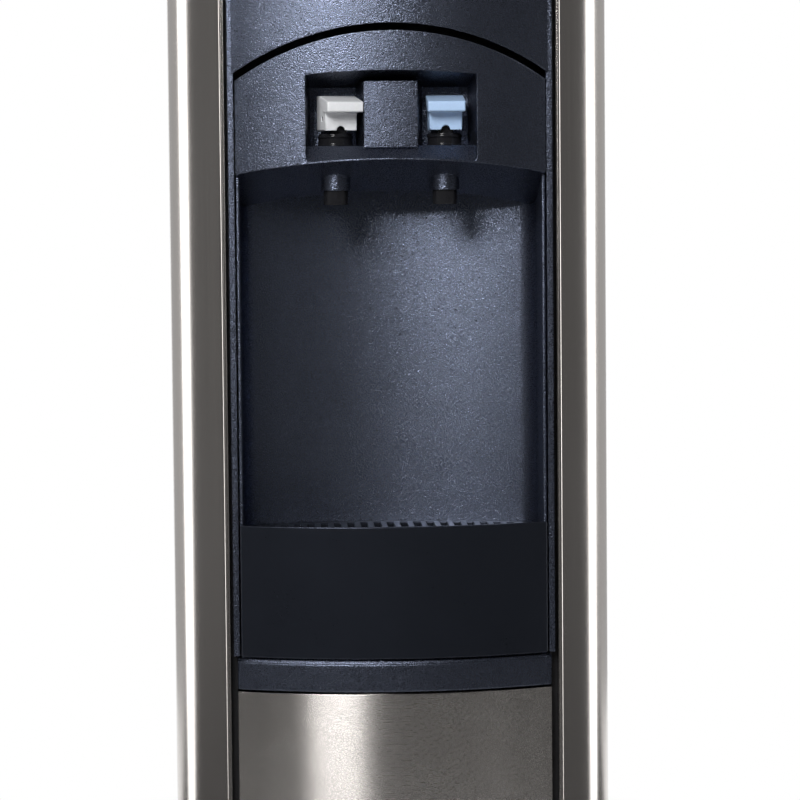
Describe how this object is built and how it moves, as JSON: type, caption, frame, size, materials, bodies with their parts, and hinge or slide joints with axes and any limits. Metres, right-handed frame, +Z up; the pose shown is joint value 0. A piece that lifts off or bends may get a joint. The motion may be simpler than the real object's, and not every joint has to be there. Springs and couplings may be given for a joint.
{
  "type": "point-of-use water cooler",
  "caption": "Free-standing plumbed water cooler with brushed steel columns, hot and cold lever taps under an arched hood, and a pull-out drip tray.",
  "frame": {"origin": "on the floor under the middle of the bounding box", "axes": "+Z up, front with the taps towards -Y, hot tap on the -X side"},
  "size_m": [0.31, 0.3494, 1.0102],
  "materials": {
    "stainless": "brushed lengthwise, satin",
    "black_plastic": "fine pebbled grain",
    "tray_plastic": "smooth satin",
    "tap_plastic": "glossy moulded",
    "hot_white": "satin moulded",
    "cold_blue": "satin moulded",
    "pin_steel": "bright",
    "valve_silicone": "translucent white",
    "brass": "machined",
    "black_steel": "satin black",
    "coated_steel": "zinc coated",
    "tank_steel": "drawn",
    "foam": "closed-cell foam",
    "white_plastic": "moulded",
    "blue_plastic": "moulded",
    "rubber": "matte",
    "copper": "drawn copper",
    "lens": "translucent",
    "switch_red": "moulded",
    "switch_green": "moulded"
  },
  "bodies": {
    "cabinet": {"base_pan": "coated_steel", "feet": "rubber", "left_side_panel": "stainless", "right_side_panel": "stainless", "front_posts": "black_steel", "rear_panel": "coated_steel", "top_cover": "black_plastic", "fascia": "black_plastic", "dispense_hood": "black_plastic", "alcove_liner": "black_plastic", "tray_shelf": "black_plastic", "lower_front_panel": "stainless", "front_plinth": "black_plastic", "indicator_lenses": "lens", "hot_tap_body": "tap_plastic", "cold_tap_body": "tap_plastic", "hot_spring": "pin_steel", "cold_spring": "pin_steel", "tap_nuts": "brass", "tank_deck": "coated_steel", "cold_tank": "tank_steel", "cold_tank_jacket": "foam", "cold_tank_lid": "white_plastic", "hot_tank": "tank_steel", "hot_tank_jacket": "foam", "heater_band": "tank_steel", "thermostats": "white_plastic", "water_inlet": "white_plastic", "inlet_valve": "white_plastic", "drain_outlet": "tap_plastic", "water_tubes": "white_plastic", "filter_rail": "coated_steel", "filter_heads": "white_plastic", "sediment_cartridge": "white_plastic", "carbon_cartridge": "blue_plastic", "compressor": "black_steel", "compressor_grommets": "rubber", "compressor_bolts": "pin_steel", "condenser_coil": "black_steel", "condenser_wires": "black_steel", "condenser_brackets": "coated_steel", "filter_drier": "copper", "refrigerant_lines": "copper", "control_box": "coated_steel", "power_inlet": "tap_plastic", "switch_frames": "tap_plastic", "rear_screws": "pin_steel"},
    "hot_lever": {"hot_lever": "hot_white", "hot_lever_pin": "pin_steel"},
    "cold_lever": {"cold_lever": "cold_blue", "cold_lever_pin": "pin_steel"},
    "hot_stem": {"hot_stem": "valve_silicone"},
    "cold_stem": {"cold_stem": "valve_silicone"},
    "drip_tray": {"drip_tray": "tray_plastic"},
    "drip_grille": {"drip_grille": "tray_plastic"},
    "hot_switch": {"hot_switch": "switch_red"},
    "cold_switch": {"cold_switch": "switch_green"},
    "drain_cap": {"drain_cap": "tap_plastic"}
  },
  "joints": [
    {"name": "hot_lever_press", "type": "hinge", "parent": "cabinet", "child": "hot_lever", "pos_m": [-0.03619, -0.14551, 0.86106], "axis": [0.9659, 0.2588, 0], "range_deg": [0, 16], "stiffness_Nm_per_rad": 0.5, "springref_deg": -2.86},
    {"name": "cold_lever_press", "type": "hinge", "parent": "cabinet", "child": "cold_lever", "pos_m": [0.03812, -0.14575, 0.86106], "axis": [0.9998, 0.0175, 0], "range_deg": [0, 16], "stiffness_Nm_per_rad": 0.5, "springref_deg": -2.86},
    {"name": "hot_stem_lift", "type": "slide", "parent": "cabinet", "child": "hot_stem", "axis": [0, 0, 1], "range_m": [0, 0.00196], "deforming": ["hot_spring"]},
    {"name": "cold_stem_lift", "type": "slide", "parent": "cabinet", "child": "cold_stem", "axis": [0, 0, 1], "range_m": [0, 0.00196], "deforming": ["cold_spring"]},
    {"name": "tray_pull", "type": "slide", "parent": "cabinet", "child": "drip_tray", "axis": [0, -1, 0], "range_m": [0, 0.14]},
    {"name": "grille_lift", "type": "slide", "parent": "drip_tray", "child": "drip_grille", "axis": [0, 0, 1], "range_m": [0, 0.06]},
    {"name": "hot_switch_rock", "type": "hinge", "parent": "cabinet", "child": "hot_switch", "pos_m": [-0.1118, 0.14075, 0.7514], "axis": [1, 0, 0], "range_deg": [-20, 0]},
    {"name": "cold_switch_rock", "type": "hinge", "parent": "cabinet", "child": "cold_switch", "pos_m": [-0.1118, 0.14075, 0.7114], "axis": [1, 0, 0], "range_deg": [-20, 0]},
    {"name": "drain_cap_turn", "type": "hinge", "parent": "cabinet", "child": "drain_cap", "pos_m": [-0.1081, 0.14075, 0.5814], "axis": [0, 1, 0], "range_deg": [0, 720]}
  ],
  "couplings": [
    {"joint": "hot_lever_press", "follows": "hot_stem_lift", "rad_per_m": 142.86},
    {"joint": "cold_lever_press", "follows": "cold_stem_lift", "rad_per_m": 142.86}
  ]
}
